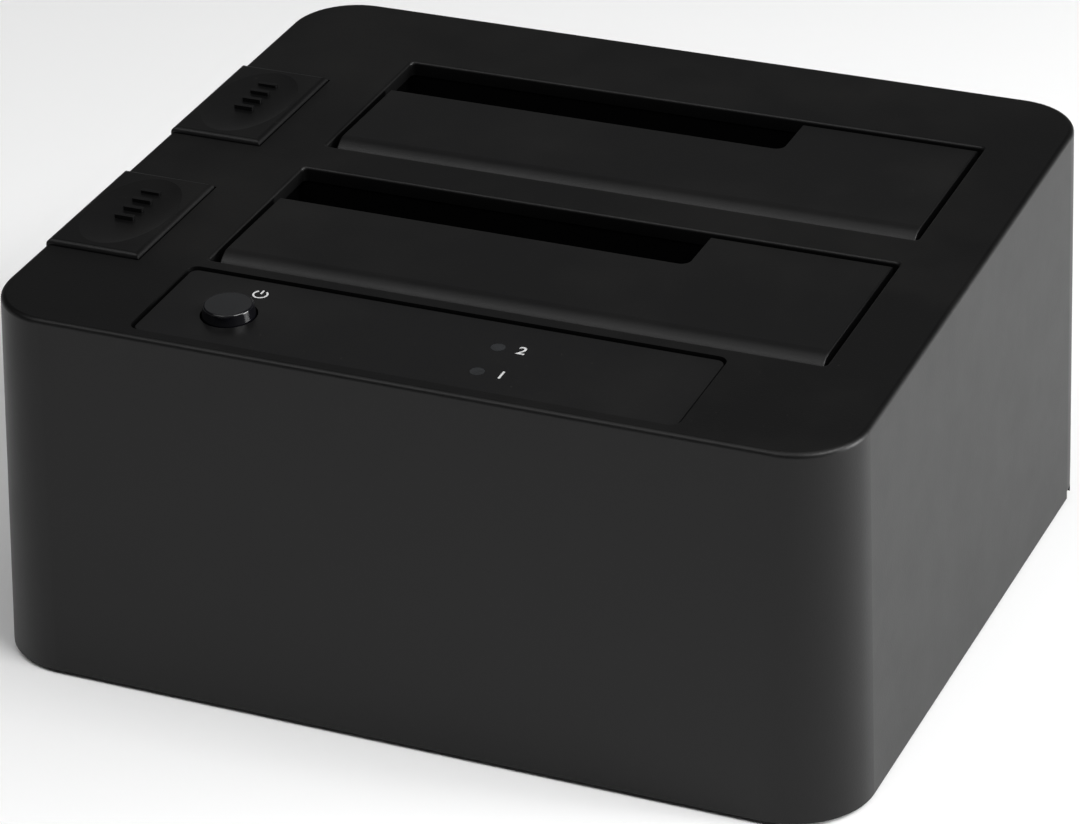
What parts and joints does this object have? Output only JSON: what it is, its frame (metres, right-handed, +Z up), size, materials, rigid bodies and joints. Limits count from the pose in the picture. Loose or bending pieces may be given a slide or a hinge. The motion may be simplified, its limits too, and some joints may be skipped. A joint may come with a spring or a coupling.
{
  "type": "hard drive docking station",
  "caption": "Desktop docking station that holds bare hard drives upright in sprung-flap slots, with eject buttons, a power button and activity lamps.",
  "frame": {"origin": "bottom centre, on the plane that the rubber feet stand on", "axes": "X runs along the front face to the right, the front faces -Y, Z is up"},
  "size_m": [0.1508, 0.1324, 0.0704],
  "materials": {
    "casing": "fine moulded texture",
    "flap": "fine moulded texture",
    "panel": "satin",
    "button": "fine moulded texture",
    "bay": "matte",
    "power_gloss": "polished",
    "power_satin": "satin",
    "lens": "smoked clear",
    "rubber": "matte",
    "steel": "ground",
    "spring_steel": "drawn wire",
    "screw_steel": "black zinc",
    "lever": "natural",
    "board": "solder mask",
    "black_part": "matte",
    "socket_metal": "bright tin",
    "can": "satin",
    "lamp": "clear",
    "ribbon": "matte"
  },
  "bodies": {
    "station": {"top_casing": "casing", "bottom_cover": "casing", "rubber_feet": "rubber", "control_panel": "panel", "power_switch": "black_part", "activity_lamps": "lamp", "panel_board": "board", "main_board": "board", "usb_socket": "socket_metal", "power_socket": "black_part", "bridge_chips": "black_part", "capacitors": "can", "inductors": "black_part", "crystal": "can", "panel_ribbon": "ribbon", "ribbon_headers": "black_part", "case_screws": "screw_steel", "bay_screws": "screw_steel", "board_screws": "screw_steel", "panel_board_screws": "screw_steel", "front_bay": "bay", "front_flap_pin": "steel", "front_return_spring": "spring_steel", "front_lever_shaft": "steel", "front_drive_receptacle": "black_part", "front_light_pipe": "lens", "rear_bay": "bay", "rear_flap_pin": "steel", "rear_return_spring": "spring_steel", "rear_lever_shaft": "steel", "rear_drive_receptacle": "black_part", "rear_light_pipe": "lens"},
    "front_flap": {"front_flap": "flap", "front_flap_spring": "spring_steel"},
    "rear_flap": {"rear_flap": "flap", "rear_flap_spring": "spring_steel"},
    "front_button": {"front_eject_button": "button"},
    "rear_button": {"rear_eject_button": "button"},
    "front_lever": {"front_eject_lever": "lever"},
    "rear_lever": {"rear_eject_lever": "lever"},
    "power_button": {"power_button": "power_gloss", "power_button_cap": "power_satin"}
  },
  "joints": [
    {"name": "front_flap_hinge", "type": "hinge", "parent": "station", "child": "front_flap", "pos_m": [0.0076, -0.03285, 0.06013], "axis": [-1, 0, 0], "range_deg": [0, 88], "stiffness_Nm_per_rad": 0.004, "springref_deg": -57.3},
    {"name": "front_button_slide", "type": "slide", "parent": "station", "child": "front_button", "axis": [0, 0, -1], "range_m": [0, 0.005], "stiffness_N_per_m": 400, "springref_m": -0.003, "deforming": ["front_return_spring"]},
    {"name": "front_lever_pivot", "type": "hinge", "parent": "station", "child": "front_lever", "pos_m": [-0.0505, -0.01872, 0.0142], "axis": [0, -1, 0], "range_deg": [0, 23.5]},
    {"name": "rear_flap_hinge", "type": "hinge", "parent": "station", "child": "rear_flap", "pos_m": [0.0076, 0.01135, 0.06245], "axis": [-1, 0, 0], "range_deg": [0, 88], "stiffness_Nm_per_rad": 0.004, "springref_deg": -57.3},
    {"name": "rear_button_slide", "type": "slide", "parent": "station", "child": "rear_button", "axis": [0, 0, -1], "range_m": [0, 0.005], "stiffness_N_per_m": 400, "springref_m": -0.003, "deforming": ["rear_return_spring"]},
    {"name": "rear_lever_pivot", "type": "hinge", "parent": "station", "child": "rear_lever", "pos_m": [-0.0505, 0.02548, 0.0142], "axis": [0, -1, 0], "range_deg": [0, 23.5]},
    {"name": "power_button_slide", "type": "slide", "parent": "station", "child": "power_button", "axis": [0, 0.0523, -0.9986], "range_m": [0, 0.0008], "stiffness_N_per_m": 800, "springref_m": -0.001}
  ],
  "couplings": [
    {"joint": "front_lever_pivot", "follows": "front_button_slide", "rad_per_m": 72.18},
    {"joint": "rear_lever_pivot", "follows": "rear_button_slide", "rad_per_m": 72.18}
  ]
}
